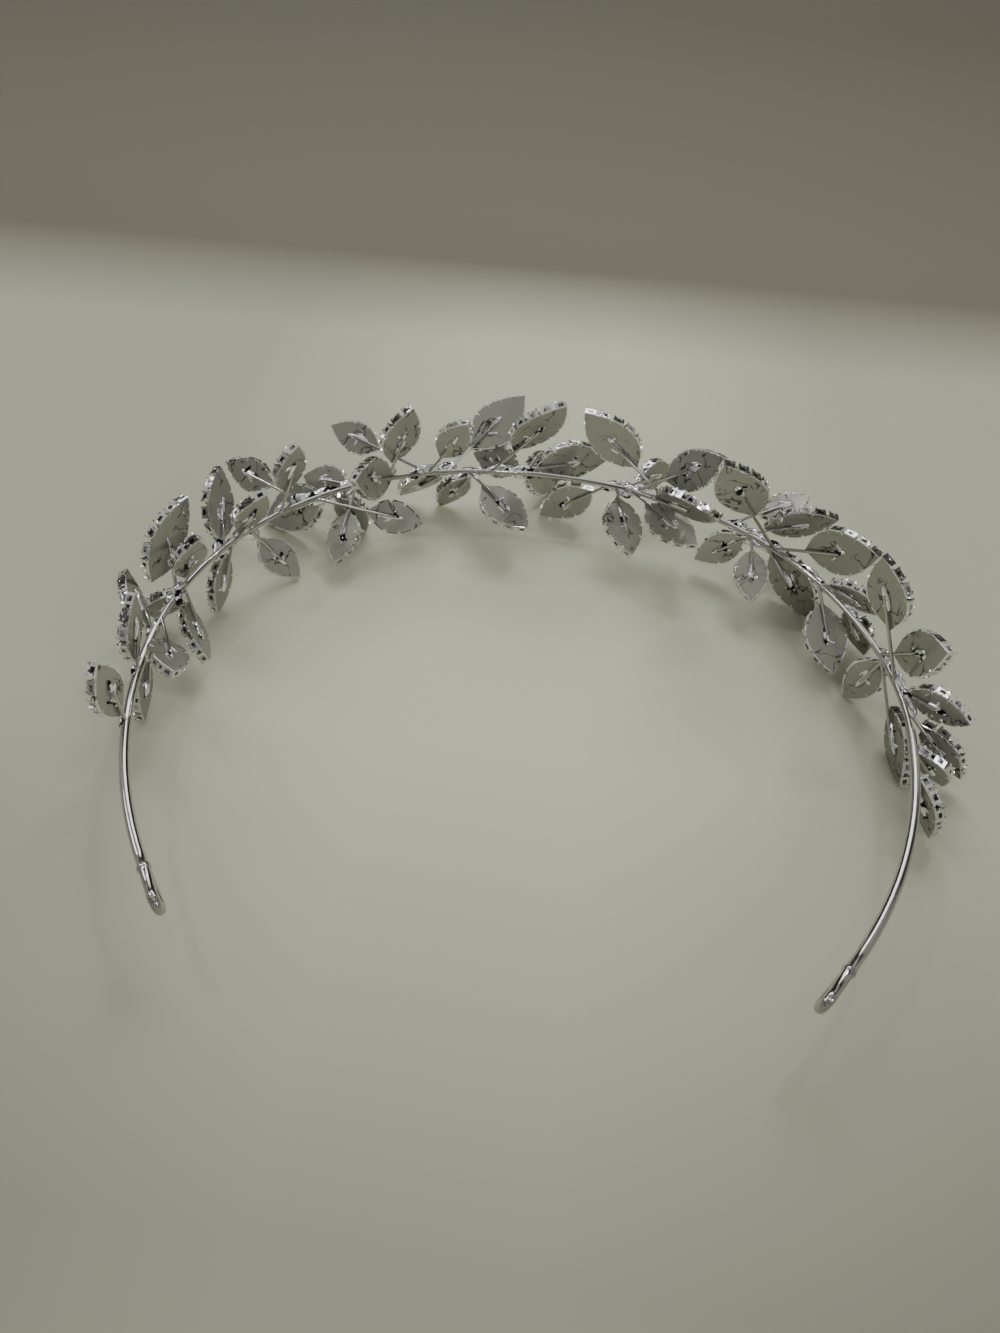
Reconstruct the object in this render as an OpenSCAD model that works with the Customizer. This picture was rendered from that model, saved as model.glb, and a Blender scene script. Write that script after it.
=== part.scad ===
// Leaf diadem: a wire band that ends in two eye loops and carries a wreath of stone-set leaves.
// The band lies level, its open end toward -Y and its crown toward +Y, and the leaf tips rest on z = 0.

/* [Band wire] */
// Height of the wire's middle above the surface that the leaf tips rest on
band_height = 14; // [13:0.5:18]
// Radius of the band's crown
crown_radius = 91; // [84:0.5:100]
// Angle of the crown to each side of its middle
crown_angle = 14.5; // [12:0.5:17]
// Radius of the band's two sides
side_radius = 66; // [60:0.5:72]
// Angle that each side turns through
side_angle = 76.5; // [70:0.5:80]
// Radius of the two bare legs
leg_radius = 90; // [80:0.5:110]
// Angle that each leg turns through
leg_angle = 35.5; // [30:0.5:40]
// Thickness of the wire that carries the leaves
crown_wire = 1.2; // [1:0.1:1.6]
// Thickness of the wire of the bare legs and their loops
leg_wire = 1.8; // [1.5:0.1:2]

/* [End loops] */
// Length of each loop, from the neck to the outside of its tip
loop_length = 9; // [7:0.5:12]
// Height of each loop over its wire
loop_height = 4.8; // [4.2:0.1:6]
// Angle that each loop leans out of the upright
loop_lean = 10; // [0:5:30]

/* [Leaves] */
// Length of the largest leaves from base to tip
leaf_length = 19; // [17:0.5:20]
// Width of the largest leaves over their cups
leaf_width = 11; // [9:0.5:11.5]
// Thickness of a leaf's back plate
plate_thickness = 0.6; // [0.4:0.1:0.8]
// Thickness of the wire stems behind the leaves
stem_wire = 0.7; // [0.6:0.1:0.9]
// Length that one unit of a stem stands for
stem_unit = 1; // [0.9:0.05:1.1]
// Gap between a stem and the plate in front of it
stem_gap = 0.15; // [0.1:0.05:0.25]
// Share of a leaf that its stem reaches behind it
stem_reach = 0.5; // [0.3:0.05:0.7]

/* [Stones] */
// Outside width of one square stone cup
cup_width = 2.5; // [2.3:0.1:2.6]
// Distance between the middles of neighbouring cups
cup_pitch = 2.75; // [2.65:0.05:3]
// Height of a cup above the back plate
cup_height = 1.5; // [1.1:0.1:1.7]
// Width of the stones along the middle of the largest leaves
stone_width = 2.2; // [1.8:0.1:2.2]
// Distance between the middles of neighbouring stones in that row
stone_pitch = 2.85; // [2.8:0.05:3.5]
// Height of those stones
stone_height = 1.2; // [0.8:0.1:1.4]
// Distance from a leaf's base to the middle of its first stone
row_start = 5.2; // [5.2:0.1:5.6]
// Distance from the last stone's place to the leaf's tip, at least
row_end = 5.4; // [5.4:0.1:6]
// Gap that keeps a stone clear of its plate
stone_gap = 0.12; // [0.1:0.02:0.2]

/* [Hidden] */
$fn = 48;
// Facets of a stone, and the shares of it that its girdle and its table take
stone_sides = 8;
girdle_share = 0.3;
table_share = 0.55;
// A wire that runs on inside the next one is this much thinner, and runs this far
joint_step = 0.04;
joint_overlap = 0.3;
// The neck of an end loop is this much thicker than its wire
neck_swell = 0.5;
// Middle of the whole diadem, from the middle of its crown's wire
middle = crown_radius * [0.03, -0.6];

// One row a leaf, from the left leg over the crown to the right leg. Place is the share of the way
// from the crown's middle to a loop's tip, negative to the left, and size is the share of the largest
// leaf. Stem is the bare part of its stem, in stem units. Swing turns the leaf up from the band's
// own direction, flare leans it outward, and roll turns it about its stem.
PLACE = 0;
SIZE = 1;
STEM = 2;
SWING = 3;
FLARE = 4;
ROLL = 5;
// place, size, stem, swing, flare, roll
LEAVES = [
    // Left side, above the bare leg
    [-0.7, 0.7, 2, 65, -5, -5],
    [-0.77, 0.7, 1.5, 90, 5, -25],
    [-0.65, 0.7, 3, -125, 0, 0],
    [-0.615, 0.7, 6.5, 165, -30, 70],
    [-0.64, 0.7, 1.5, 30, 30, -10],
    [-0.57, 0.7, 2.5, -80, 35, 55],
    [-0.56, 0.7, 2.5, 95, -25, -30],
    [-0.56, 0.7, 3, -140, -40, 5],
    // Left shoulder
    [-0.48, 0.85, 1, 55, 20, 0],
    [-0.435, 0.7, 3, -65, -30, 5],
    [-0.465, 0.7, 2.5, -125, -10, -10],
    [-0.455, 0.7, 1, 75, -30, -15],
    [-0.385, 0.7, 5.5, 80, -15, 0],
    [-0.35, 0.7, 9.5, 165, 70, 20],
    [-0.335, 0.7, 12.5, -20, -30, -25],
    [-0.31, 0.7, 2.5, -60, -5, 40],
    [-0.315, 1, 2.5, -130, 40, 70],
    [-0.275, 0.7, 6, -140, -40, 70],
    [-0.275, 0.7, 2.5, -160, 55, 60],
    // Left half of the crown
    [-0.23, 0.85, 4, 75, -10, 10],
    [-0.185, 0.85, 12, 145, -40, 35],
    [-0.175, 0.7, 13, 165, 35, 30],
    [-0.175, 0.7, 5.5, 65, -20, -15],
    [-0.15, 0.85, 1.5, -130, 25, -30],
    [-0.15, 1, 8.5, 30, 30, -55],
    [-0.12, 0.85, 4.5, -20, -50, -65],
    [-0.11, 0.7, 3.5, -120, 15, -20],
    [-0.09, 1, 8.5, 55, -15, 25],
    [-0.075, 1, 8.5, 0, 15, 5],
    [-0.055, 1, 5.5, -40, 45, -50],
    [-0.035, 0.7, 4, -175, 30, 30],
    // Right half of the crown
    [0.07, 0.85, 4.5, -140, 0, -5],
    [0.08, 0.85, 2, -40, -55, -65],
    [0.1, 0.85, 4.5, -15, -20, -70],
    [0.09, 0.7, 7.5, -20, 60, -25],
    [0.1, 1, 7, 15, -30, 30],
    [0.105, 0.85, 8, 40, -5, -30],
    [0.15, 1, 11, 135, -15, 0],
    // Right shoulder
    [0.24, 0.7, 8.5, 20, 60, -65],
    [0.265, 0.85, 4, 25, 25, 30],
    [0.275, 0.7, 2, -135, -20, -5],
    [0.275, 0.7, 2.5, -35, -45, -60],
    [0.295, 1, 2, -40, 5, 0],
    [0.305, 1, 9, 30, -5, 5],
    [0.31, 1, 13, 105, -35, 30],
    [0.36, 0.7, 6, -20, 30, 15],
    [0.385, 0.85, 4, -30, -20, -75],
    [0.435, 0.7, 1, -70, 25, -10],
    // Right side, above the bare leg
    [0.52, 0.85, 10, -30, -5, 5],
    [0.515, 0.85, 3.5, 45, 5, -5],
    [0.525, 0.7, 1, -100, -15, -30],
    [0.56, 0.85, 12, 105, -20, 30],
    [0.57, 0.7, 1.5, 10, 40, 15],
    [0.59, 0.7, 5.5, -45, 40, -20],
    [0.66, 0.7, 1, -100, 40, -60],
    [0.69, 0.7, 1, -70, 25, -25],
];

function two_digits(n) = str(n < 10 ? "0" : "", n);
function leaf_name(i) = str("leaf_", two_digits(i + 1));

// Route of the band: the right half's three arcs, each with its radius, its angle and its middle
function dir(a) = [cos(a), sin(a)];
side_from = 90 - crown_angle;
leg_from = side_from - side_angle;
leg_to = leg_from - leg_angle;
crown_middle = [0, -crown_radius];
side_middle = crown_middle + (crown_radius - side_radius) * dir(side_from);
leg_middle = side_middle + (side_radius - leg_radius) * dir(leg_from);
crown_run = crown_radius * crown_angle * PI / 180;
side_run = side_radius * side_angle * PI / 180;
leg_run = leg_radius * leg_angle * PI / 180;
half_run = crown_run + side_run + leg_run;
half_length = half_run + loop_length;

// Direction from an arc's middle to the band at distance d along the right half
function radial(d) =
    d < crown_run ? 90 - d / crown_radius * 180 / PI :
    d < crown_run + side_run ? side_from - (d - crown_run) / side_radius * 180 / PI :
    leg_from - (d - crown_run - side_run) / leg_radius * 180 / PI;

// Point of the right half at distance d from the crown's middle
function right_point(d) =
    d < crown_run ? crown_middle + crown_radius * dir(radial(d)) :
    d < crown_run + side_run ? side_middle + side_radius * dir(radial(d)) :
    leg_middle + leg_radius * dir(radial(d));

// Moves its children to the band at a place, with X along the band and Y outward
module on_band(place) {
    d = abs(place) * half_length;
    p = right_point(d);
    side = place < 0 ? -1 : 1;
    translate([side * p[0] - middle[0], p[1] - middle[1], band_height])
        rotate([0, 0, side * (radial(d) - 90)])
            children();
}

// Turns its children as a leaf is turned, with X along its stem
module on_stem(leaf) {
    on_band(leaf[PLACE])
        rotate([0, -leaf[SWING], 0])
            rotate([0, 0, leaf[FLARE]])
                rotate([leaf[ROLL], 0, 0])
                    children();
}

// Lays its children on a leaf's plate: X from base to tip, Y across, Z out of its front
module on_plate(leaf) {
    on_stem(leaf)
        translate([leaf[STEM] * stem_unit, stem_wire / 2 + stem_gap, 0])
            rotate([-90, 0, 0])
                children();
}

// Middle line of the cups around a leaf of a size, from its base to its tip
cup_corner = cup_width * sqrt(2) / 2;
outline_steps = 40;
fullness = 0.85;
base_bias = 0.85;
cup_look = 0.2;
function rim_point(size, t) = [
    cup_corner + t * (size * leaf_length - 2 * cup_corner),
    (size * leaf_width - cup_width) / 2 * pow(sin(180 * pow(t, base_bias)), fullness)
];
function rim_run(size) = [
    for (i = 0, run = 0; i <= outline_steps;
         i = i + 1,
         run = run + norm(rim_point(size, i / outline_steps) - rim_point(size, (i - 1) / outline_steps)))
        [run, i / outline_steps]
];

// Cups along that line, each with its point and its turn
CUP_POINT = 0;
CUP_TURN = 1;
function rim_cups(size) =
    let (run = rim_run(size), edge = run[outline_steps][0], last = floor(edge / cup_pitch))
    [for (i = [0:last])
        let (ahead = rim_point(size, lookup(edge * min(i + cup_look, last) / last, run)),
             behind = rim_point(size, lookup(edge * max(i - cup_look, 0) / last, run)),
             slope = atan2(ahead[1] - behind[1], ahead[0] - behind[0]))
        [rim_point(size, lookup(edge * i / last, run)), i == 0 || i == last ? 45 : slope]];

module outline(cups) {
    last = len(cups) - 1;
    one_side = [for (cup = cups) cup[CUP_POINT]];
    other_side = [for (i = [last - 1:-1:1]) [cups[i][CUP_POINT][0], -cups[i][CUP_POINT][1]]];
    polygon(concat(one_side, other_side));
}

// Places its children at each cup of the rim
module each_cup(cups) {
    last = len(cups) - 1;
    for (cup = cups)
        translate(cup[CUP_POINT])
            rotate([0, 0, cup[CUP_TURN]])
                children();
    for (i = [1:last - 1])
        mirror([0, 1, 0])
            translate(cups[i][CUP_POINT])
                rotate([0, 0, cups[i][CUP_TURN]])
                    children();
}

// Back plate with a rim of square cups, whose backs are flush with the plate
module leaf(i) {
    cups = rim_cups(LEAVES[i][SIZE]);
    color("silver")
        on_plate(LEAVES[i]) {
            linear_extrude(plate_thickness) outline(cups);
            linear_extrude(plate_thickness + cup_height)
                each_cup(cups) square(cup_width, center = true);
        }
}

// Wire of one arc: it starts at angle from, turns clockwise to angle to, and runs on a little
// inside the next, thicker wire at the ends that are told
module arc_wire(middle, radius, from, to, wire, on_from = 0, on_to = 0) {
    start = to - on_to / radius * 180 / PI;
    end = from + on_from / radius * 180 / PI;
    translate([middle[0], middle[1], 0])
        rotate([0, 0, start])
            rotate_extrude(angle = end - start, $fn = 96)
                translate([radius, 0])
                    circle(d = wire);
}

// Eye loop: the wire runs out, turns back on itself and closes at the neck
module end_loop() {
    bend = loop_height / 2 - leg_wire / 2;
    reach = loop_length - loop_height / 2;
    slope = asin(bend / reach);
    straight = reach * cos(slope);
    translate([reach, 0, 0])
        rotate([0, 0, -90 - slope])
            rotate_extrude(angle = 180 + 2 * slope)
                translate([bend, 0])
                    circle(d = leg_wire);
    for (side = [-1, 1])
        rotate([0, 0, side * slope])
            rotate([0, 90, 0])
                cylinder(h = straight + joint_overlap, d = leg_wire - joint_step);
    sphere(d = leg_wire + neck_swell);
}

module leg_and_side() {
    arc_wire(side_middle, side_radius, side_from, leg_from, crown_wire, 0, joint_overlap);
    arc_wire(leg_middle, leg_radius, leg_from, leg_to, leg_wire);
}

module loop_on(side) {
    on_band(side * half_run / half_length)
        mirror([side < 0 ? 1 : 0, 0, 0])
            rotate([90 - loop_lean, 0, 0])
                end_loop();
}

module stem(leaf) {
    on_stem(leaf)
        rotate([0, 90, 0])
            cylinder(h = leaf[STEM] * stem_unit + stem_reach * leaf[SIZE] * leaf_length, d = stem_wire);
}

module band() {
    color("silver") {
        translate([-middle[0], -middle[1], band_height]) {
            arc_wire(crown_middle, crown_radius, 90 + crown_angle, side_from, crown_wire - joint_step,
                     joint_overlap, joint_overlap);
            leg_and_side();
            mirror([1, 0, 0]) leg_and_side();
        }
        loop_on(-1);
        loop_on(1);
        for (leaf = LEAVES) stem(leaf);
    }
}

// Flat-backed cut stone for a leaf of a size: a girdle with facets that rise to a table
module stone(size) {
    width = size * stone_width;
    girdle = girdle_share * stone_height;
    cylinder(h = girdle, d = width, $fn = stone_sides);
    translate([0, 0, girdle])
        cylinder(h = stone_height - girdle, d1 = width, d2 = table_share * width, $fn = stone_sides);
}

// Row of stones along the middle of each leaf, as many as its length has room for
module stones() {
    color("white")
        for (leaf = LEAVES) {
            row = leaf[SIZE] * leaf_length - row_start - row_end;
            pitch = leaf[SIZE] * stone_pitch;
            on_plate(leaf)
                for (i = [0:floor(row / pitch)])
                    translate([row_start + i * pitch, 0, plate_thickness + stone_gap])
                        stone(leaf[SIZE]);
        }
}

band();
for (i = [0:len(LEAVES) - 1])
    leaf(i);
stones();
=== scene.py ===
import math

import bmesh
import bpy
from mathutils import Matrix, Vector


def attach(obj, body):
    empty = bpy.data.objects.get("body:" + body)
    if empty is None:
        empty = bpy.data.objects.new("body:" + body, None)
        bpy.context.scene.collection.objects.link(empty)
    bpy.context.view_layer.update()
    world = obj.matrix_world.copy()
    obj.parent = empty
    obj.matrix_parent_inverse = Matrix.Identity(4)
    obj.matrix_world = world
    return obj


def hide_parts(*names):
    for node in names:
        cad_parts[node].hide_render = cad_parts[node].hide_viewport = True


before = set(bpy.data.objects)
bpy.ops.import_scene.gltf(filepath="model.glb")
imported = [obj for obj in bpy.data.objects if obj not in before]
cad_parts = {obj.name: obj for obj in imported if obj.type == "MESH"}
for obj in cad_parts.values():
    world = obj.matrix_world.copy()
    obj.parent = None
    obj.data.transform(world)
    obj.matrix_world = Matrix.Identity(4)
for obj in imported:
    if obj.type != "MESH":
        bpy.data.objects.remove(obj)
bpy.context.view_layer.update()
bpy.ops.object.select_all(action="DESELECT")

# Camera.
# The diadem is seen from inside its arch, half way between level and straight down, with the
# picture turned a little.
mm = 0.001
camera_spot = Vector((-0.15, -146.1, 149.9)) * mm
camera_turn, camera_tilt, picture_turn = (math.radians(angle) for angle in (3.42, 44.88, 5.34))
bpy.ops.object.camera_add()
camera = bpy.context.object
camera.data.sensor_fit = "HORIZONTAL"
camera.data.sensor_width = 36
camera.data.lens = 36
camera.data.clip_start = 0.01
camera.matrix_world = (
    Matrix.Translation(camera_spot)
    @ Matrix.Rotation(camera_turn, 4, "Z")
    @ Matrix.Rotation(camera_tilt, 4, "X")
    @ Matrix.Rotation(picture_turn, 4, "Z"))
bpy.context.scene.camera = camera

# Table and light.
# A plain pale surface, lit softly from beyond the crown and from the room on the open side. Its
# colour carries a painted falloff of the light, darker to the sides and the front, and it turns into
# a darker ground well behind the diadem.
bpy.ops.mesh.primitive_plane_add(size=4, location=(0, 0, 0))
table = bpy.context.object
table.name = "table_top"


def adder(tree):
    """A way to add a node to a tree that is joined up at once."""
    def add(kind, **inputs):
        node = tree.nodes.new(kind)
        for key, value in inputs.items():
            socket = node.inputs[key.replace("_", " ")]
            if isinstance(value, bpy.types.NodeSocket):
                tree.links.new(value, socket)
            else:
                socket.default_value = value
        return node

    return add


def new_finish(name):
    """An empty material with its shader, its links and a way to add nodes."""
    finish = bpy.data.materials.new(name)
    finish.use_nodes = True
    tree = finish.node_tree
    return finish, tree.nodes["Principled BSDF"], adder(tree), tree.links


def ramp(add, value, low, high, at_low=0.0, at_high=1.0):
    """Value turned from low..high into at_low..at_high, and held at the ends."""
    node = add("ShaderNodeMapRange", Value=value)
    numbers = {"From Min": low, "From Max": high, "To Min": at_low, "To Max": at_high}
    for socket, number in numbers.items():
        node.inputs[socket].default_value = number
    return node.outputs["Result"]


def mix(add, share, first, second):
    """A colour between two colours."""
    node = add("ShaderNodeMix")
    node.data_type = "RGBA"
    links = node.id_data.links
    links.new(share, node.inputs["Factor"])
    for socket, colour in ((node.inputs[6], first), (node.inputs[7], second)):
        if isinstance(colour, bpy.types.NodeSocket):
            links.new(colour, socket)
        else:
            socket.default_value = colour
    return node.outputs[2]


def roughen(add, shader, height, strength, depth, **inputs):
    """Relief on a finish, of the strength and the depth, whose high spots are bright in height."""
    bump = add("ShaderNodeBump", Height=height, Strength=strength, Distance=depth, **inputs)
    shader.id_data.links.new(bump.outputs["Normal"], shader.inputs["Normal"])


def calculated(add, operation, first, second=None):
    """A value worked out from one or two values."""
    node = add("ShaderNodeMath", Value=first)
    node.operation = operation
    if isinstance(second, bpy.types.NodeSocket):
        node.id_data.links.new(second, node.inputs[1])
    elif second is not None:
        node.inputs[1].default_value = second
    return node.outputs[0]


dusk_slant, dusk_from, dusk_to = -0.068, 0.144, 0.203
brightest_left = 0.01
finish, shader, add, links = new_finish("matt_table")
place = add("ShaderNodeTexCoord").outputs["Object"]
spread = add("ShaderNodeSeparateXYZ", Vector=place)
clouds = add("ShaderNodeTexNoise", Vector=place, Scale=9.0, Detail=3.0).outputs["Fac"]
pale = mix(add, clouds, (0.436, 0.438, 0.326, 1), (0.456, 0.458, 0.346, 1))
painted_shade_black = (0.0, 0.0, 0.0, 1)
slant = add("ShaderNodeMath", Value=spread.outputs["X"])
slant.operation = "MULTIPLY_ADD"
slant.inputs[1].default_value = dusk_slant
links.new(spread.outputs["Y"], slant.inputs[2])
dusk = ramp(add, slant.outputs[0], dusk_from, dusk_to)
# Painted light falloff: the table's colour is blended towards black to the sides and the front, around
# a brightest spot a little left of the middle.
aside = calculated(add, "ABSOLUTE", calculated(add, "ADD", spread.outputs["X"], brightest_left))
light_falloff_to_sides = ramp(add, aside, 0.02, 0.085, at_low=0.98, at_high=0.7)
light_falloff_to_front = ramp(add, spread.outputs["Y"], -0.11, -0.021, at_low=0.51, at_high=1.0)
painted_light_falloff = calculated(add, "MULTIPLY", light_falloff_to_sides, light_falloff_to_front)
table_with_painted_falloff = mix(add, painted_light_falloff, painted_shade_black, pale)
far_off = ramp(add, spread.outputs["Y"], 0.25, 0.6)
beyond = mix(add, far_off, (0.112, 0.101, 0.07, 1), (0.072, 0.065, 0.043, 1))
links.new(mix(add, dusk, table_with_painted_falloff, beyond), shader.inputs["Base Color"])
shader.inputs["Roughness"].default_value = 0.6
grain = add("ShaderNodeTexNoise", Vector=place, Scale=900.0, Detail=2.0).outputs["Fac"]
roughen(add, shader, grain, 0.04, 0.2 * mm)
table.data.materials.append(finish)

# The three small lamps show in the polished metal, and the two large lights don't.
for name, spot, aim, size, power, seen in (
        ("window_light", (0.1, 0.75, 0.85), (0, 0.05, 0), 0.6, 7, False),
        ("room_light", (0.25, -1.0, 0.5), (0, 0, 0), 1.0, 12, False),
        ("first_lamp", (0.25, 0.5, 0.9), (0, 0, 0), 0.065, 0.8, True),
        ("second_lamp", (-0.45, 0.15, 0.8), (0, 0, 0), 0.065, 0.6, True),
        ("third_lamp", (0.1, -0.35, 0.95), (0, 0, 0), 0.05, 0.4, True)):
    bpy.ops.object.light_add(type="AREA", location=spot)
    lamp = bpy.context.object
    lamp.name = name
    lamp.data.size = size
    lamp.data.energy = power
    lamp.visible_glossy = seen
    lamp.rotation_euler = (Vector(aim) - Vector(spot)).to_track_quat("-Z", "Y").to_euler()

# The room that the metal reflects: soft light and dark places above a plain lower wall, a dark
# wall beyond the crown, the ceiling, one bright panel and two small windows.
room = bpy.data.worlds.new("room")
room.use_nodes = True
add, links = adder(room.node_tree), room.node_tree.links
toward = add("ShaderNodeTexCoord").outputs["Generated"]
walls = add("ShaderNodeTexNoise", Vector=toward, Scale=3.6).outputs["Fac"]
shades = add("ShaderNodeValToRGB", Fac=walls)
shades.color_ramp.elements[0].position = 0.48
shades.color_ramp.elements[0].color = (0.05, 0.048, 0.042, 1)
shades.color_ramp.elements[1].position = 0.53
shades.color_ramp.elements[1].color = (0.55, 0.55, 0.52, 1)
way = add("ShaderNodeSeparateXYZ", Vector=toward)
sideways, beyond_crown, upward = (way.outputs[axis] for axis in "XYZ")


def between(value, low, high):
    """One where the value lies between two numbers, and nothing elsewhere."""
    over = calculated(add, "GREATER_THAN", value, low)
    under = calculated(add, "LESS_THAN", value, high)
    return calculated(add, "MULTIPLY", over, under)


def small_window(direction):
    """One inside a round patch of the room around a direction, and nothing outside it."""
    facing = add("ShaderNodeVectorMath", Vector=toward)
    facing.operation = "DOT_PRODUCT"
    facing.inputs[1].default_value = Vector(direction).normalized()
    return calculated(add, "GREATER_THAN", facing.outputs["Value"], window_edge)


plain_wall, dark_wall = (0.31, 0.308, 0.29, 1), (0.04, 0.038, 0.033, 1)
ceiling, bright_panel, daylight = (0.45, 0.455, 0.44, 1), (3.0, 3.1, 3.2, 1), (4.0, 4.2, 4.5, 1)
plain_below, ceiling_from, dark_from = 0.3, 0.5, 0.82
window_edge, windows_toward = 0.988, ((-0.75, 0.2, 0.63), (0.7, -0.45, 0.55))
look = mix(add, calculated(add, "LESS_THAN", upward, plain_below), shades.outputs["Color"], plain_wall)
look = mix(add, calculated(add, "GREATER_THAN", beyond_crown, dark_from), look, dark_wall)
over_table = between(beyond_crown, -0.22, 0.28)
overhead = calculated(add, "MULTIPLY", between(sideways, -0.42, 0.42), over_table)
above = calculated(add, "GREATER_THAN", upward, ceiling_from)
look = mix(add, calculated(add, "MULTIPLY", overhead, above), look, ceiling)
leaning = calculated(add, "DIVIDE", sideways, upward)
panel = calculated(add, "MULTIPLY", between(leaning, -0.6, 0.3), between(beyond_crown, 0.58, 0.8))
above = calculated(add, "GREATER_THAN", upward, plain_below)
look = mix(add, calculated(add, "MULTIPLY", panel, above), look, bright_panel)
for direction in windows_toward:
    look = mix(add, small_window(direction), look, daylight)
background = room.node_tree.nodes["Background"]
links.new(look, background.inputs["Color"])
background.inputs["Strength"].default_value = 1.0
bpy.context.scene.world = room

# Leaf plates.
# Stamped silver plate, rhodium-plated: the cups' floor, whose edge bulges behind every cup and is
# nicked between two, and a smoother back plate soldered over it, with a slit at each joint. The
# back carries ripples and thin dark lines in its colour, partly casting seams and partly painted
# dark reflections. The wreath has leaves of three sizes.
finish, shader, add, links = new_finish("polished_leaf_silver")
place = add("ShaderNodeTexCoord").outputs["Object"]
ripple = add("ShaderNodeTexNoise", Vector=place, Scale=260.0, Detail=3.0).outputs["Fac"]
patch = add("ShaderNodeTexNoise", Vector=place, Scale=140.0, Detail=2.0).outputs["Fac"]
# Thin dark lines in the back's colour: partly casting seams, partly painted dark reflections of the
# wires and stems.
dark_line_noise = add(
    "ShaderNodeTexNoise", Vector=place, Scale=190.0, Detail=4.0, Distortion=0.6).outputs["Fac"]
off_dark_line = calculated(add, "ABSOLUTE", calculated(add, "SUBTRACT", dark_line_noise, 0.5))
on_dark_line = ramp(add, off_dark_line, 0.005, 0.02, at_low=1.0, at_high=0.0)
seams_and_painted_reflections = calculated(add, "MULTIPLY", on_dark_line, ramp(add, patch, 0.47, 0.54))
seam_and_reflection_dark = (0.03, 0.028, 0.025, 1)
tone = mix(add, ripple, (0.25, 0.246, 0.21, 1), (0.3, 0.296, 0.252, 1))
links.new(mix(add, seams_and_painted_reflections, tone, seam_and_reflection_dark), shader.inputs["Base Color"])
shader.inputs["Metallic"].default_value = 0.6
links.new(ramp(add, ripple, 0.3, 0.7, at_low=0.16, at_high=0.26), shader.inputs["Roughness"])
dents = add("ShaderNodeBump", Height=ripple, Strength=0.3, Distance=0.2 * mm).outputs["Normal"]
roughen(add, shader, seams_and_painted_reflections, -0.5, 0.1 * mm, Normal=dents)
leaf_silver = finish

finish, shader, add, links = new_finish("polished_cup_silver")
place = add("ShaderNodeTexCoord").outputs["Object"]
ripple = add("ShaderNodeTexNoise", Vector=place, Scale=600.0, Detail=2.0).outputs["Fac"]
links.new(mix(add, ripple, (0.7, 0.69, 0.67, 1), (0.9, 0.9, 0.89, 1)), shader.inputs["Base Color"])
shader.inputs["Metallic"].default_value = 1.0
links.new(ramp(add, ripple, 0.3, 0.7, at_low=0.05, at_high=0.12), shader.inputs["Roughness"])
roughen(add, shader, ripple, 0.5, 0.2 * mm)
cup_silver = finish

# Painted shade and painted glints: a near black colour with random bright spots, for the shade and
# glints seen in the cups' windows and along the plates' side edges.
finish, shader, add, links = new_finish("painted_window_shade_and_glints")
place = add("ShaderNodeTexCoord").outputs["Object"]
glint = add("ShaderNodeTexNoise", Vector=place, Scale=700.0, Detail=1.0).outputs["Fac"]
shine = ramp(add, glint, 0.45, 0.62)
links.new(mix(add, shine, (0.03, 0.028, 0.03, 1), (0.4, 0.41, 0.44, 1)), shader.inputs["Base Color"])
shader.inputs["Metallic"].default_value = 0.9
shader.inputs["Roughness"].default_value = 0.12
painted_shade_and_glints = finish

leaf_sizes = (1.0, 0.85, 0.7)
leaf_length, leaf_width = 19 * mm, 11 * mm
cup_width, cup_pitch = 2.5 * mm, 2.75 * mm
floor_back, floor_front, back_thickness = 0.22 * mm, 0.5 * mm, 0.4 * mm
floor_edge, back_edge = 0.05 * mm, 0.06 * mm
# The first and last cup stand on a corner, so the rim runs from half a cup's diagonal.
run_start = cup_width * math.sqrt(2) / 2
run_steps, rim_fullness = 400, 0.85
# Points of the plates' edges along and outward from a cup's middle, in millimetres.
cup_bulge = ((-1.12, 1.08), (-0.85, 1.25), (0.85, 1.25), (1.12, 1.08))
base_bulge, tip_bulge, nick_out = (-0.38, 1.19, 0), (0.12, 1.25, 0), 0.5
wall_out, slit_half, slit_end = 1.02, 0.16, 0.35
floor_inset, back_inset = 0.02 * mm, 0.1 * mm


def rim_point(size, share):
    """Middle line of the rim's cups, share of the way from the leaf's base to its tip."""
    bulge = math.sin(math.pi * min(max(share, 0), 1) ** rim_fullness)
    return Vector((run_start + share * (size * leaf_length - 2 * run_start),
                   (size * leaf_width - cup_width) / 2 * max(bulge, 0) ** rim_fullness, 0))


def runs_along_rim(size):
    """Distance along the rim's middle line at each of its steps."""
    runs = [0.0]
    for i in range(run_steps):
        step = rim_point(size, (i + 1) / run_steps) - rim_point(size, i / run_steps)
        runs.append(runs[-1] + step.length)
    return runs


rim_run = {size: runs_along_rim(size) for size in leaf_sizes}
cups_a_side = {size: int(rim_run[size][-1] / cup_pitch) for size in leaf_sizes}


def rim_at(size, cup):
    """Point of the rim at a cup's number, counted from the base, also between two cups."""
    runs = rim_run[size]
    run = runs[-1] * cup / cups_a_side[size]
    i = next((k for k in range(run_steps) if runs[k + 1] >= run), run_steps - 1)
    return rim_point(size, (i + (run - runs[i]) / (runs[i + 1] - runs[i])) / run_steps)


def cup_turn(size, cup):
    """Direction of the rim at a cup, and half a right angle at the base and the tip."""
    if cup in (0, cups_a_side[size]):
        return math.radians(45)
    ahead, behind = rim_at(size, cup + 0.2), rim_at(size, cup - 0.2)
    return math.atan2(ahead.y - behind.y, ahead.x - behind.x)


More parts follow.
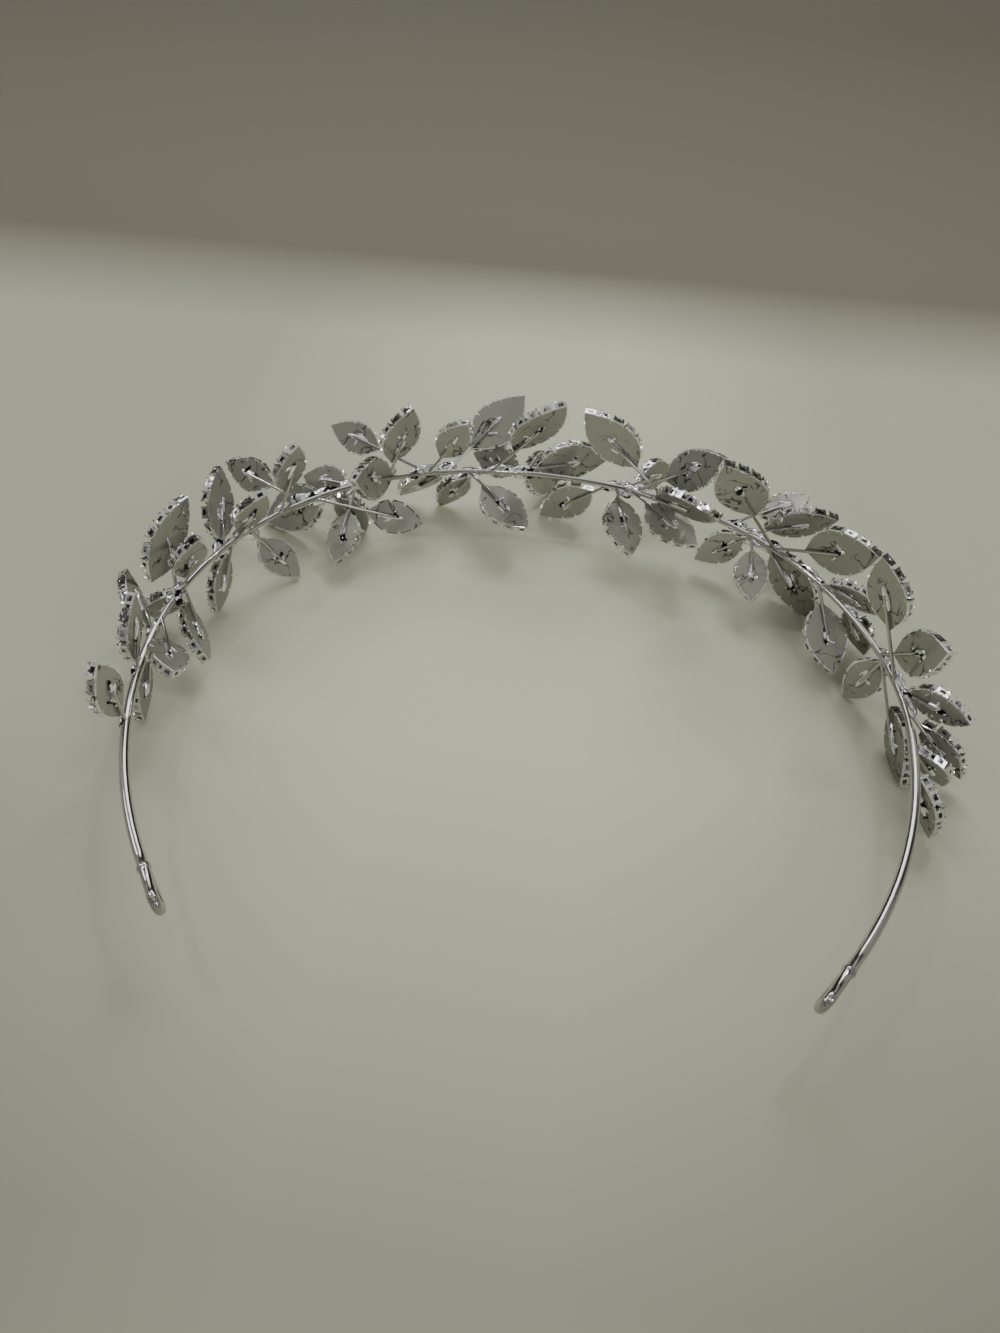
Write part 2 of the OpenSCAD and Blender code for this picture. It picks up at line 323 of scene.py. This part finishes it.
def cut_plate(outline, low, high, rounding, name):
    """A flat plate with the outline, from height low to height high, with softened edges."""
    bpy.ops.object.select_all(action="DESELECT")
    bpy.ops.mesh.primitive_circle_add(vertices=len(outline), radius=5 * mm, fill_type="NGON")
    plate = bpy.context.object
    for vertex, spot in zip(plate.data.vertices, outline):
        vertex.co = spot + Vector((0, 0, low))
    bpy.ops.object.mode_set(mode="EDIT")
    bpy.ops.mesh.select_all(action="SELECT")
    bpy.ops.mesh.extrude_region_move(TRANSFORM_OT_translate={"value": (0, 0, high - low)})
    bpy.ops.mesh.select_all(action="SELECT")
    bpy.ops.mesh.normals_make_consistent(inside=False)
    bpy.ops.object.mode_set(mode="OBJECT")
    edge = plate.modifiers.new("edge", "BEVEL")
    edge.width = rounding
    edge.segments = 2
    edge.limit_method = "ANGLE"
    edge.angle_limit = math.radians(60)
    bpy.ops.object.modifier_apply(modifier="edge")
    plate.data.materials.append(leaf_silver)
    plate.name = name
    return plate


def nicked_outline(size):
    """Edge of the plate: a bulge behind each cup and a nick between two cups."""
    last = cups_a_side[size]
    edge = []
    for cup in range(last + 1):
        middle = rim_at(size, cup)
        if cup == 0:
            edge += [Vector((floor_inset, 0, 0)), middle + Vector(base_bulge) * mm]
        elif cup == last:
            edge += [middle + Vector(tip_bulge) * mm,
                     Vector((size * leaf_length - floor_inset, 0, 0))]
        else:
            turned = Matrix.Rotation(cup_turn(size, cup), 3, "Z")
            for along, out in cup_bulge:
                edge.append(middle + turned @ Vector((along, out, 0)) * mm)
        if 0 < cup < last - 1:
            turned = Matrix.Rotation(cup_turn(size, cup + 0.5), 3, "Z")
            edge.append(rim_at(size, cup + 0.5) + turned @ Vector((0, nick_out, 0)) * mm)
    return edge + [Vector((p.x, -p.y, 0)) for p in reversed(edge[1:-1])]


def smooth_outline(size):
    """Edge of the back plate, just inside the cups' outer walls, with a slit between two cups."""
    last = cups_a_side[size]
    side = [Vector((back_inset, 0, 0))]
    for half in range(1, 2 * last):
        cup = half / 2
        at_joint = half % 2 == 1 and 1 < half < 2 * last - 1
        slit = ((-slit_half, wall_out), (0, slit_end), (slit_half, wall_out))
        edge = slit if at_joint else ((0, wall_out),)
        turned = Matrix.Rotation(cup_turn(size, cup), 3, "Z")
        side += [rim_at(size, cup) + turned @ Vector((along, out, 0)) * mm for along, out in edge]
    side.append(Vector((size * leaf_length - back_inset, 0, 0)))
    return side + [Vector((p.x, -p.y, 0)) for p in reversed(side[1:-1])]


plates = {}
for size in leaf_sizes:
    floors = cut_plate(nicked_outline(size), floor_back, floor_front, floor_edge, "cup_floors")
    cut_plate(smooth_outline(size), 0, back_thickness, back_edge, "back_plate")
    floors.select_set(True)
    bpy.context.view_layer.objects.active = floors
    bpy.ops.object.join()
    floors.data.materials.append(cup_silver)
    floors.data.materials.append(painted_shade_and_glints)
    # The plates' side edges take the painted shade and glints.
    for face in floors.data.polygons:
        if abs(face.normal.z) < 0.97:
            face.material_index = 1
    plates[size] = floors
bpy.ops.object.select_all(action="DESELECT")

# Rim cups.
# Square cast cups, soldered side by side around the plate: four corner posts, a window in each
# wall, and posts that end in claws bent in over the stone.
post, cup_foot = 0.36 * mm, 0.07 * mm
wall_top, claw_top = 1.55 * mm, 2.1 * mm
window_frame, window_rim, window_depth = 0.3 * mm, 0.05 * mm, 0.14 * mm
well_wall, well_depth, claw_tip = 0.06 * mm, 0.9 * mm, 0.03 * mm
claw_lean, near = 0.88, 0.1 * mm


def choose(piece, wanted):
    """Selects the faces of the piece in edit mode for which wanted(middle, normal) holds."""
    bpy.ops.mesh.select_mode(type="FACE")
    bpy.ops.mesh.select_all(action="DESELECT")
    shape = bmesh.from_edit_mesh(piece.data)
    for face in shape.faces:
        face.select_set(bool(wanted(face.calc_center_median(), face.normal)))
    bmesh.update_edit_mesh(piece.data)


bpy.ops.mesh.primitive_cube_add(size=1, location=(0, 0, (cup_foot + wall_top) / 2))
cup_model = bpy.context.object
cup_model.scale = (cup_width, cup_width, wall_top - cup_foot)
bpy.ops.object.transform_apply(location=True, rotation=False, scale=True)
bpy.ops.object.mode_set(mode="EDIT")
cut = cup_width / 2 - post
for side in (-1, 1):
    for across in (Vector((1, 0, 0)), Vector((0, 1, 0))):
        bpy.ops.mesh.select_all(action="SELECT")
        bpy.ops.mesh.bisect(plane_co=across * cut * side, plane_no=across)
choose(cup_model, lambda c, n: abs(n.z) < 0.1 and (abs(c.x) < cut or abs(c.y) < cut)
       and min(abs(c.x), abs(c.y)) < near)
bpy.ops.mesh.inset(thickness=window_frame, use_individual=True)
bpy.ops.mesh.inset(thickness=window_rim, depth=-window_depth, use_individual=True)
choose(cup_model, lambda c, n: n.z > 0.9 and abs(c.x) < near and abs(c.y) < near)
bpy.ops.mesh.inset(thickness=well_wall, depth=-well_depth)
choose(cup_model, lambda c, n: n.z > 0.9 and abs(c.x) > cut and abs(c.y) > cut)
bpy.ops.mesh.inset(thickness=claw_tip, depth=claw_top - wall_top, use_individual=True)
bpy.ops.transform.resize(value=(claw_lean, claw_lean, 1), center_override=(0, 0, 0))
bpy.ops.mesh.select_all(action="SELECT")
bpy.ops.mesh.normals_make_consistent(inside=False)
bpy.ops.object.mode_set(mode="OBJECT")
cup_model.data.materials.append(cup_silver)
cup_model.data.materials.append(painted_shade_and_glints)
# The cups' windows take the painted shade and glints.
for face in cup_model.data.polygons:
    inside = max(abs(face.center.x), abs(face.center.y)) < cup_width / 2 - near
    if abs(face.normal.z) < 0.1 and inside and min(abs(face.center.x), abs(face.center.y)) < near:
        face.material_index = 1


def cup_places(size):
    """Place of each cup around a leaf of the size."""
    spots = []
    for cup in range(cups_a_side[size] + 1):
        for side in (1, -1):
            if side < 0 and cup in (0, cups_a_side[size]):
                continue
            middle = rim_at(size, cup)
            spots.append(Matrix.Translation(Vector((middle.x, side * middle.y, 0)))
                         @ Matrix.Rotation(side * cup_turn(size, cup), 4, "Z"))
    return spots


def copies_of(model, places, name):
    """Copies of a model at each place, joined into one piece with its place in its mesh."""
    bpy.ops.object.select_all(action="DESELECT")
    made = []
    for spot in places:
        copy = model.copy()
        copy.data = model.data.copy()
        bpy.context.collection.objects.link(copy)
        copy.matrix_world = spot
        copy.select_set(True)
        made.append(copy)
    bpy.context.view_layer.objects.active = made[0]
    bpy.ops.object.join()
    bpy.ops.object.transform_apply(location=True, rotation=True, scale=True)
    whole = bpy.context.object
    whole.name = name
    bpy.ops.object.select_all(action="DESELECT")
    return whole


rims = {size: copies_of(cup_model, cup_places(size), "rim_cups") for size in leaf_sizes}

# Stones.
# A clear eight-sided stone sits in every cup, and a row of larger ones stands in claw
# settings along the middle of each leaf's front. Each has a table, a crown and a point behind.
finish, shader, add, links = new_finish("clear_crystal")
place = add("ShaderNodeTexCoord").outputs["Object"]
haze = add("ShaderNodeTexNoise", Vector=place, Scale=500.0, Detail=1.0).outputs["Fac"]
links.new(mix(add, haze, (0.93, 0.95, 1.0, 1), (1.0, 1.0, 1.0, 1)), shader.inputs["Base Color"])
shader.inputs["Transmission Weight"].default_value = 1.0
shader.inputs["Roughness"].default_value = 0.02
shader.inputs["IOR"].default_value = 1.6
crystal = finish
# Each step of a crown: its share of the height, and how far it draws in.
crown_steps = ((0.55, 0.86), (0.45, 0.68))


def cut_stone(radius, girdle_from, girdle_to, top, point):
    """Stone with its girdle between two heights, its table at top and its point behind."""
    bpy.ops.mesh.primitive_cylinder_add(
        vertices=8, radius=radius, depth=girdle_to - girdle_from,
        location=(0, 0, (girdle_from + girdle_to) / 2), rotation=(0, 0, math.radians(22.5)))
    stone = bpy.context.object
    bpy.ops.object.transform_apply(location=True, rotation=True, scale=True)
    bpy.ops.object.mode_set(mode="EDIT")
    for part, shrink in crown_steps:
        choose(stone, lambda c, n: n.z > 0.9)
        rise = part * (top - girdle_to)
        bpy.ops.mesh.extrude_region_move(TRANSFORM_OT_translate={"value": (0, 0, rise)})
        bpy.ops.transform.resize(value=(shrink, shrink, 1), center_override=(0, 0, top))
    choose(stone, lambda c, n: n.z < -0.9)
    bpy.ops.mesh.extrude_region_move(TRANSFORM_OT_translate={"value": (0, 0, point - girdle_from)})
    bpy.ops.mesh.merge(type="CENTER")
    bpy.ops.mesh.select_all(action="SELECT")
    bpy.ops.mesh.normals_make_consistent(inside=False)
    bpy.ops.object.mode_set(mode="OBJECT")
    stone.data.materials.append(crystal)
    return stone


small_stone = cut_stone(radius=1.08 * mm, girdle_from=1.72 * mm, girdle_to=1.8 * mm,
                        top=2.1 * mm, point=0.95 * mm)
small_stone.name = "small_stone"
large_stone = cut_stone(radius=1.1 * mm, girdle_from=1.3 * mm, girdle_to=1.4 * mm,
                        top=1.92 * mm, point=0.72 * mm)
large_stone.name = "large_stone"


row_start, row_ends, row_pitch = 5.2 * mm, 10.6 * mm, 2.85


def row_places(size):
    """Places of the larger stones along the middle of a leaf of the size."""
    room = size * leaf_length - row_ends
    pitch = size * row_pitch * mm
    shrunk = Matrix.Diagonal((size, size, 1, 1))
    return [Matrix.Translation(Vector((row_start + i * pitch, 0, 0))) @ shrunk
            for i in range(int(room / pitch + 0.001) + 1)]


collet_radius, collet_depth, collet_middle = 1 * mm, 0.85 * mm, 0.9 * mm
collet_flare, collet_wall, collet_bore, bore_taper = 1.2, 0.14 * mm, 0.7 * mm, 0.8
claw_radius, claw_length, claw_middle = 0.16 * mm, 1.2 * mm, 1.2 * mm
claw_ring, claw_inward = 1.12, 0.2
bpy.ops.mesh.primitive_cylinder_add(
    vertices=12, radius=collet_radius, depth=collet_depth, location=(0, 0, collet_middle))
collet = bpy.context.object
bpy.ops.object.transform_apply(location=True, rotation=True, scale=True)
bpy.ops.object.mode_set(mode="EDIT")
choose(collet, lambda c, n: n.z > 0.9)
bpy.ops.transform.resize(value=(collet_flare, collet_flare, 1), center_override=(0, 0, 0))
bpy.ops.mesh.inset(thickness=collet_wall)
bpy.ops.mesh.extrude_region_move(TRANSFORM_OT_translate={"value": (0, 0, -collet_bore)})
bpy.ops.transform.resize(value=(bore_taper, bore_taper, 1), center_override=(0, 0, 0))
bpy.ops.object.mode_set(mode="OBJECT")
for quarter in range(4):
    angle = math.radians(45 + 90 * quarter)
    bpy.ops.object.select_all(action="DESELECT")
    bpy.ops.mesh.primitive_cylinder_add(
        vertices=6, radius=claw_radius, depth=claw_length,
        location=(claw_ring * math.cos(angle) * mm, claw_ring * math.sin(angle) * mm, claw_middle))
    claw = bpy.context.object
    bpy.ops.object.transform_apply(location=True, rotation=True, scale=True)
    bpy.ops.object.mode_set(mode="EDIT")
    choose(claw, lambda c, n: n.z > 0.9)
    bpy.ops.transform.translate(
        value=(-claw_inward * math.cos(angle) * mm, -claw_inward * math.sin(angle) * mm, 0))
    bpy.ops.object.mode_set(mode="OBJECT")
    collet.select_set(True)
    bpy.context.view_layer.objects.active = collet
    bpy.ops.object.join()
collet.data.materials.append(cup_silver)
collet.data.materials.append(painted_shade_and_glints)
collet.name = "claw_setting"


def joined(pieces, name):
    """The pieces as one piece, with the last one's materials first."""
    bpy.ops.object.select_all(action="DESELECT")
    for piece in pieces:
        piece.select_set(True)
    bpy.context.view_layer.objects.active = pieces[-1]
    bpy.ops.object.join()
    whole = bpy.context.object
    whole.name = name
    bpy.ops.object.select_all(action="DESELECT")
    return whole


leaf_models, stone_models = {}, {}
for size in leaf_sizes:
    settings = copies_of(collet, row_places(size), "row_settings")
    leaf_models[size] = joined([rims[size], settings, plates[size]], "leaf_model")
    rim_stones = copies_of(small_stone, cup_places(size), "rim_stones")
    row_stones = copies_of(large_stone, row_places(size), "row_stones")
    stone_models[size] = joined([rim_stones, row_stones], "stone_model")


def leaf_place(node):
    """Where a leaf lies, with X from its base to its tip and its back at z = 0, and its size."""
    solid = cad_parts[node].data
    solid.calc_loop_triangles()
    faces = {}
    for tri in solid.loop_triangles:
        key = tuple(round(x, 2) for x in tri.normal)
        faces.setdefault(key, []).append(tri)

    def area_in_plane(tris):
        """Area of the triangles in the plane of the first one, to a twentieth of a millimetre."""
        level = solid.vertices[tris[0].vertices[0]].co
        return sum(t.area for t in tris if abs(
            (solid.vertices[t.vertices[0]].co - level).dot(tris[0].normal)) < 0.05 * mm)

    back = max(faces.values(), key=area_in_plane)
    front = -sum((t.normal * t.area for t in back), Vector()).normalized()
    points = [v.co for v in solid.vertices]
    floor = min(p.dot(front) for p in points)
    heart = sum(points, Vector()) / len(points)
    far = max(points, key=lambda p: (p - heart - (p - heart).dot(front) * front).length)
    along = (far - heart) - (far - heart).dot(front) * front
    # A first guess at the leaf's length is turned until it lies along the spread of its points.
    for _ in range(30):
        along = sum(((p - heart) * (p - heart).dot(along) for p in points), Vector())
        along = (along - along.dot(front) * front).normalized()
    across = front.cross(along)
    xs = [p.dot(along) for p in points]
    # A leaf is widest on its base's side of the middle.
    widest = max(points, key=lambda p: abs((p - heart).dot(across)))
    if widest.dot(along) > (min(xs) + max(xs)) / 2:
        along, across = -along, -across
    base = min(p.dot(along) for p in points)
    middle = (min(p.dot(across) for p in points) + max(p.dot(across) for p in points)) / 2
    origin = along * base + across * middle + front * floor
    length = max(p.dot(along) for p in points) - base
    size = min(leaf_sizes, key=lambda share: abs(share * leaf_length - length))
    return Matrix.Translation(origin) @ Matrix((along, across, front)).transposed().to_4x4(), size


leaf_nodes = sorted(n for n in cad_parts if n.startswith("leaf_"))
places = [leaf_place(n) for n in leaf_nodes]
for node, (spot, size) in zip(leaf_nodes, places):
    leaf = copies_of(leaf_models[size], [spot], "silver_" + node)
    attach(leaf, "root")
    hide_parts(node)
of_each_size = []
for size in leaf_sizes:
    spots = [spot for spot, its_size in places if its_size == size]
    of_each_size.append(copies_of(stone_models[size], spots, "stones_of_a_size"))
stones = joined(of_each_size, "cut_stones")
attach(stones, "root")
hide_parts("stones")

# Leaf beyond the left leg.
# One more large leaf, cast and set like the others, which stands nearly on edge outside the left
# leg. A stem of its own wire is soldered to the band and to the middle of its back.
finish, shader, add, links = new_finish("polished_wire_silver")
place = add("ShaderNodeTexCoord").outputs["Object"]
ripple = add("ShaderNodeTexNoise", Vector=place, Scale=420.0, Detail=2.0).outputs["Fac"]
links.new(mix(add, ripple, (0.44, 0.43, 0.405, 1), (0.56, 0.55, 0.525, 1)), shader.inputs["Base Color"])
shader.inputs["Metallic"].default_value = 1.0
links.new(ramp(add, ripple, 0.3, 0.7, at_low=0.06, at_high=0.13), shader.inputs["Roughness"])
roughen(add, shader, ripple, 0.12, 0.1 * mm)
wire_silver = finish
smooth_under = math.radians(50)

leaf_base = Vector((-80.9, -0.2, 13.4)) * mm
along = Vector((0.26, 0.7, 0.67)).normalized()
front = Vector((-0.94, 0.34, 0.01))
front = (front - front.dot(along) * along).normalized()
beyond_leg = (Matrix.Translation(leaf_base)
              @ Matrix((along, front.cross(along), front)).transposed().to_4x4())
leaf = copies_of(leaf_models[1.0], [beyond_leg], "silver_leaf_beyond_leg")
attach(leaf, "root")
its_stones = copies_of(stone_models[1.0], [beyond_leg], "stones_beyond_leg")
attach(its_stones, "root")
# The stem runs from the band's line to 8.7 mm along the leaf, 0.3 mm behind its back.
stem_radius = 0.35 * mm
stem_foot = Vector((-74.4, -3.4, 14)) * mm
stem_end = beyond_leg @ (Vector((8.7, 0, -0.3)) * mm)
stem_run = stem_end - stem_foot
bpy.ops.mesh.primitive_cylinder_add(
    vertices=16, radius=stem_radius, depth=stem_run.length, location=(stem_foot + stem_end) / 2,
    rotation=stem_run.to_track_quat("Z", "Y").to_euler())
stem = bpy.context.object
bpy.ops.object.transform_apply(location=True, rotation=True, scale=True)
bpy.ops.object.shade_smooth_by_angle(angle=smooth_under)
stem.name = "stem_beyond_leg"
stem.data.materials.append(wire_silver)
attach(stem, "root")
bpy.ops.object.select_all(action="DESELECT")

# Band wire.
# One soldered piece of round wire: the crown and its sides, the two thicker legs with their
# eye loops, and a stem behind every leaf.
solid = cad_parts["band"]
band = solid.copy()
band.data = solid.data.copy()
bpy.context.collection.objects.link(band)
band.name = "band_wire"
band.parent = None
band.select_set(True)
bpy.context.view_layer.objects.active = band
bpy.ops.object.mode_set(mode="EDIT")
bpy.ops.mesh.select_all(action="SELECT")
bpy.ops.mesh.remove_doubles(threshold=0.001 * mm)
bpy.ops.mesh.customdata_custom_splitnormals_clear()
bpy.ops.object.mode_set(mode="OBJECT")
bpy.ops.object.shade_smooth_by_angle(angle=smooth_under)
band.data.materials.clear()
band.data.materials.append(wire_silver)
for key in list(band.keys()):
    del band[key]
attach(band, "root")
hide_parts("band")
bpy.ops.object.select_all(action="DESELECT")

# Solder at the stems.
# Soft silver solder holds every stem: a long swell where it leaves the band, and a puddle with
# a few beads where its end lies on the back of its leaf.
finish, shader, add, links = new_finish("solder_painted_dark")
place = add("ShaderNodeTexCoord").outputs["Object"]
# Painted shade and painted dark reflections: the solder's colour is near black in patches, for its
# crevices and steep sides, beside bright bare silver.
dark_patch_noise = add("ShaderNodeTexNoise", Vector=place, Scale=520.0, Detail=2.0).outputs["Fac"]
bare_metal_share = ramp(add, dark_patch_noise, 0.4, 0.44)
links.new(mix(add, bare_metal_share, (0.02, 0.019, 0.018, 1), (0.93, 0.94, 0.96, 1)), shader.inputs["Base Color"])
shader.inputs["Metallic"].default_value = 1.0
links.new(ramp(add, dark_patch_noise, 0.3, 0.7, at_low=0.1, at_high=0.24), shader.inputs["Roughness"])
solder_painted_dark = finish

band_height = 14 * mm
crown_to_middle = Vector((2.73, -54.6, 0)) * mm
# Radius and degrees of each arc of the band, from the crown to the end of a leg.
arcs = ((91 * mm, 14.5), (66 * mm, 76.5), (90 * mm, 35.5))


def half_band():
    """Middle line of the right half of the band, in steps of about a millimetre."""
    spot, heading, line = Vector((0, 0, band_height)) - crown_to_middle, 0.0, []
    for radius, angle in arcs:
        count = int(radius * math.radians(angle) / mm)
        turn = math.radians(angle) / count
        for _ in range(count):
            line.append(spot.copy())
            heading -= turn
            halfway = heading + turn / 2
            spot = spot + Vector((math.cos(halfway), math.sin(halfway), 0)) * radius * turn
    return line


right_half = half_band()
crown = right_half[0].x
ring_heart = right_half[0].y - 75 * mm
band_line = [Vector((2 * crown - p.x, p.y, p.z)) for p in reversed(right_half[1:])] + right_half
bpy.ops.mesh.primitive_ico_sphere_add(subdivisions=3, radius=1 * mm)
drop = bpy.context.object
drop.name = "solder_drop"
# A drop spreads and flattens where it lies on the metal.
bpy.ops.object.mode_set(mode="EDIT")
choose(drop, lambda c, n: c.z < -0.3 * mm)
bpy.ops.transform.resize(value=(1.1, 1.1, 0.7), center_override=(0, 0, 0))
bpy.ops.object.mode_set(mode="OBJECT")
bpy.ops.object.shade_smooth()
drop.data.materials.append(solder_painted_dark)
bpy.ops.object.select_all(action="DESELECT")


def swell(spot, along, out, reach, width, height):
    """Place of a drop that is drawn out along a direction."""
    along = along.normalized()
    across = out.cross(along).normalized()
    up = along.cross(across)
    return (Matrix.Translation(spot) @ Matrix((along, across, up)).transposed().to_4x4()
            @ Matrix.Diagonal((reach, width, height, 1)))


leg_bulk, legs_from = 0.6, -8 * mm
puddle_depth, bead_depth = 0.22 * mm, 0.02 * mm
# How far the stem's line lies behind its leaf's back, and how far a swell lies from the band's
# line, up the stem and away from the ring's heart, in millimetres.
stem_behind, swell_up_stem, swell_behind = 0.5, 0.7, 0.9
band_drops, leaf_drops = [], []
for number, (spot, size) in enumerate(places):
    along, across, front = (spot.to_3x3().col[i].copy() for i in range(3))
    foot = spot.translation - front * stem_behind * mm
    length = size * leaf_length
    # The stem's line is followed back in half millimetres to where it comes nearest to the band.
    root = min(((foot - along * back * 0.5 * mm - band_line[i]).length, i)
               for back in range(30) for i in range(0, len(band_line), 2))[1]
    hub = band_line[root]
    wire = band_line[min(root + 1, len(band_line) - 1)] - band_line[max(root - 1, 0)]
    # No two drops are alike: the lean goes between nothing and one from leaf to leaf.
    lean = 0.5 + 0.5 * math.sin(number * 2.4)
    if wire.dot(along) < 0:
        wire = -wire
    out = front if abs(front.dot(wire.normalized())) < 0.9 else across
    behind = Vector((hub.x - crown, hub.y - ring_heart, -30 * mm)).normalized() * swell_behind * mm
    bulk = leg_bulk if hub.y < legs_from else 1.0
    band_drops.append(swell(hub + along * swell_up_stem * mm + behind * bulk,
                            wire.normalized() + along * (0.5 + 0.5 * lean), out,
                            reach=(1.9 + 1.1 * lean) * bulk, width=(1.25 + 0.3 * lean) * bulk,
                            height=1.1 * bulk))
    end = length * (0.5 - 0.1 * lean)
    puddle = spot @ Vector((end, 0.15 * mm * math.sin(number), -puddle_depth))
    leaf_drops.append(swell(puddle, along + across * 0.12 * math.sin(number * 1.7), -front,
                            reach=1.9 + 1.4 * lean, width=0.55 + 0.3 * (1 - lean), height=0.45))
    for bead in range(2):
        turn = number * 1.3 + bead * 2.6
        beside = spot @ Vector((end + 1.9 * mm * math.cos(turn) * size,
                                1.5 * mm * math.sin(turn) * size, -bead_depth))
        drawn_out = along * math.cos(turn * 3) + across * math.sin(turn * 3)
        leaf_drops.append(swell(beside, drawn_out, -front,
                                reach=0.75 + 0.5 * math.sin(turn * 2) ** 2, width=0.35, height=0.2))
# The drops of the leaf beyond the leg are turned as the last leaf's are.
band_drops.append(swell(stem_foot, stem_run, front, reach=2.2, width=1.3, height=1.1))
leaf_drops.append(swell(stem_end, along, -front, reach=2.6, width=0.9, height=0.5))
crumple = bpy.data.textures.new("crumple", "CLOUDS")
crumple.noise_scale = 0.9 * mm
crumple.noise_depth = 2
for drops, name, push in ((band_drops, "solder_swells", 0.55), (leaf_drops, "solder_puddles", 0.3)):
    solder = copies_of(drop, drops, name)
    bpy.context.view_layer.objects.active = solder
    rough = solder.modifiers.new("crumple", "DISPLACE")
    rough.texture = crumple
    rough.texture_coords = "GLOBAL"
    rough.strength = push * mm
    rough.mid_level = 0.5
    solder.select_set(True)
    bpy.ops.object.modifier_apply(modifier="crumple")
    bpy.ops.object.select_all(action="DESELECT")
    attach(solder, "root")

spent = [*leaf_models.values(), *stone_models.values()]
spent += [cup_model, small_stone, large_stone, collet, drop]
for model in spent:
    bpy.data.objects.remove(model)
